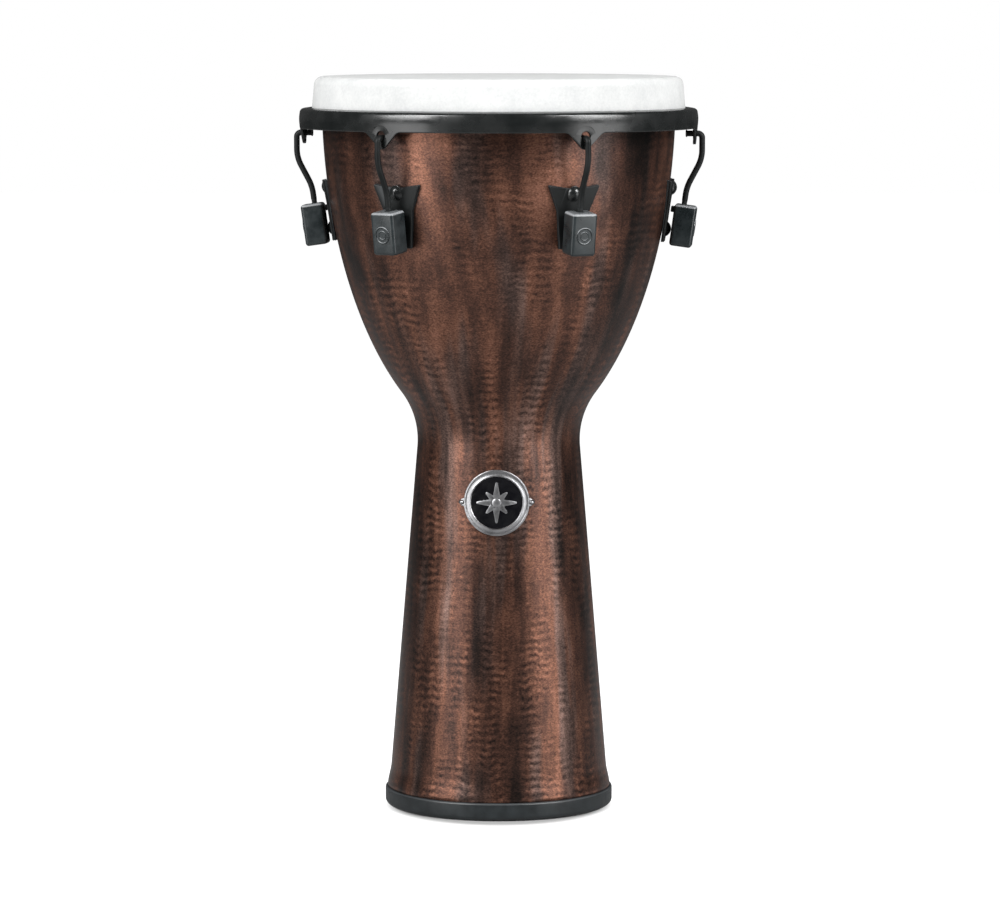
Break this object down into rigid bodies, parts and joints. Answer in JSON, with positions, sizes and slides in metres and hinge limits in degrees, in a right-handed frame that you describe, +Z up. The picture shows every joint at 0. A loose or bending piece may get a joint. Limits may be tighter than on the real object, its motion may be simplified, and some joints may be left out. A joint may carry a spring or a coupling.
{
  "type": "djembe",
  "caption": "Goblet-shaped hand drum with a copper-brown figured fibreglass shell, a white moulded head under a black rod-tuned counterhoop, rubber-booted lugs and a rubber foot ring.",
  "frame": {"origin": "centre of the foot ring's underside, on the floor", "axes": "+Z up through the head; -Y is the front, where the badge is; +X is to the right seen from the front"},
  "size_m": [0.3502, 0.341, 0.625],
  "materials": {
    "shell_finish": "satin copper-brown lacquer with a figured grain on fibreglass",
    "head_film": "white coated film",
    "black_steel": "satin black powder coat",
    "boot_rubber": "moulded black rubber",
    "foot_rubber": "matte black rubber",
    "channel_alloy": "rolled channel",
    "zinc_steel": "bright zinc plate",
    "badge_silver": "brushed",
    "badge_black": "gloss enamel"
  },
  "bodies": {
    "shell_body": {"shell": "shell_finish", "foot_ring": "foot_rubber", "drumhead": "head_film", "lug_bracket_1": "black_steel", "lug_bracket_2": "black_steel", "lug_bracket_3": "black_steel", "lug_bracket_4": "black_steel", "lug_bracket_5": "black_steel", "lug_bracket_6": "black_steel", "lug_boot_1": "boot_rubber", "lug_boot_2": "boot_rubber", "lug_boot_3": "boot_rubber", "lug_boot_4": "boot_rubber", "lug_boot_5": "boot_rubber", "lug_boot_6": "boot_rubber", "nut_washers": "zinc_steel", "lug_gaskets": "foot_rubber", "lug_bolts": "black_steel", "backing_washers": "zinc_steel", "lock_nuts": "zinc_steel", "badge_rim": "badge_silver", "badge_disc": "badge_black", "badge_pins": "badge_silver"},
    "tuning_hoop": {"counterhoop": "black_steel", "flesh_hoop": "channel_alloy", "tuning_rod_1": "black_steel", "tuning_rod_2": "black_steel", "tuning_rod_3": "black_steel", "tuning_rod_4": "black_steel", "tuning_rod_5": "black_steel", "tuning_rod_6": "black_steel"},
    "nut_1": {"tuning_nut_1": "zinc_steel"},
    "nut_2": {"tuning_nut_2": "zinc_steel"},
    "nut_3": {"tuning_nut_3": "zinc_steel"},
    "nut_4": {"tuning_nut_4": "zinc_steel"},
    "nut_5": {"tuning_nut_5": "zinc_steel"},
    "nut_6": {"tuning_nut_6": "zinc_steel"}
  },
  "joints": [
    {"name": "hoop_slide", "type": "slide", "parent": "shell_body", "child": "tuning_hoop", "axis": [0, 0, 1], "range_m": [-0.003, 0.003]},
    {"name": "nut_turn_1", "type": "hinge", "parent": "shell_body", "child": "nut_1", "pos_m": [-0.09038, -0.12907, 0.5115], "axis": [-0.0798, -0.114, 0.9903], "range_deg": [-1350, 1350]},
    {"name": "nut_turn_2", "type": "hinge", "parent": "shell_body", "child": "nut_2", "pos_m": [0.06659, -0.14281, 0.5115], "axis": [0.0588, -0.1261, 0.9903], "range_deg": [-1350, 1350]},
    {"name": "nut_turn_3", "type": "hinge", "parent": "shell_body", "child": "nut_3", "pos_m": [0.15697, -0.01373, 0.5115], "axis": [0.1386, -0.0121, 0.9903], "range_deg": [-1350, 1350]},
    {"name": "nut_turn_4", "type": "hinge", "parent": "shell_body", "child": "nut_4", "pos_m": [0.09038, 0.12907, 0.5115], "axis": [0.0798, 0.114, 0.9903], "range_deg": [-1350, 1350]},
    {"name": "nut_turn_5", "type": "hinge", "parent": "shell_body", "child": "nut_5", "pos_m": [-0.06659, 0.14281, 0.5115], "axis": [-0.0588, 0.1261, 0.9903], "range_deg": [-1350, 1350]},
    {"name": "nut_turn_6", "type": "hinge", "parent": "shell_body", "child": "nut_6", "pos_m": [-0.15697, 0.01373, 0.5115], "axis": [-0.1386, 0.0121, 0.9903], "range_deg": [-1350, 1350]}
  ],
  "couplings": [
    {"joint": "nut_turn_1", "follows": "hoop_slide", "rad_per_m": -7777.6},
    {"joint": "nut_turn_2", "follows": "hoop_slide", "rad_per_m": -7777.6},
    {"joint": "nut_turn_3", "follows": "hoop_slide", "rad_per_m": -7777.6},
    {"joint": "nut_turn_4", "follows": "hoop_slide", "rad_per_m": -7777.6},
    {"joint": "nut_turn_5", "follows": "hoop_slide", "rad_per_m": -7777.6},
    {"joint": "nut_turn_6", "follows": "hoop_slide", "rad_per_m": -7777.6}
  ]
}
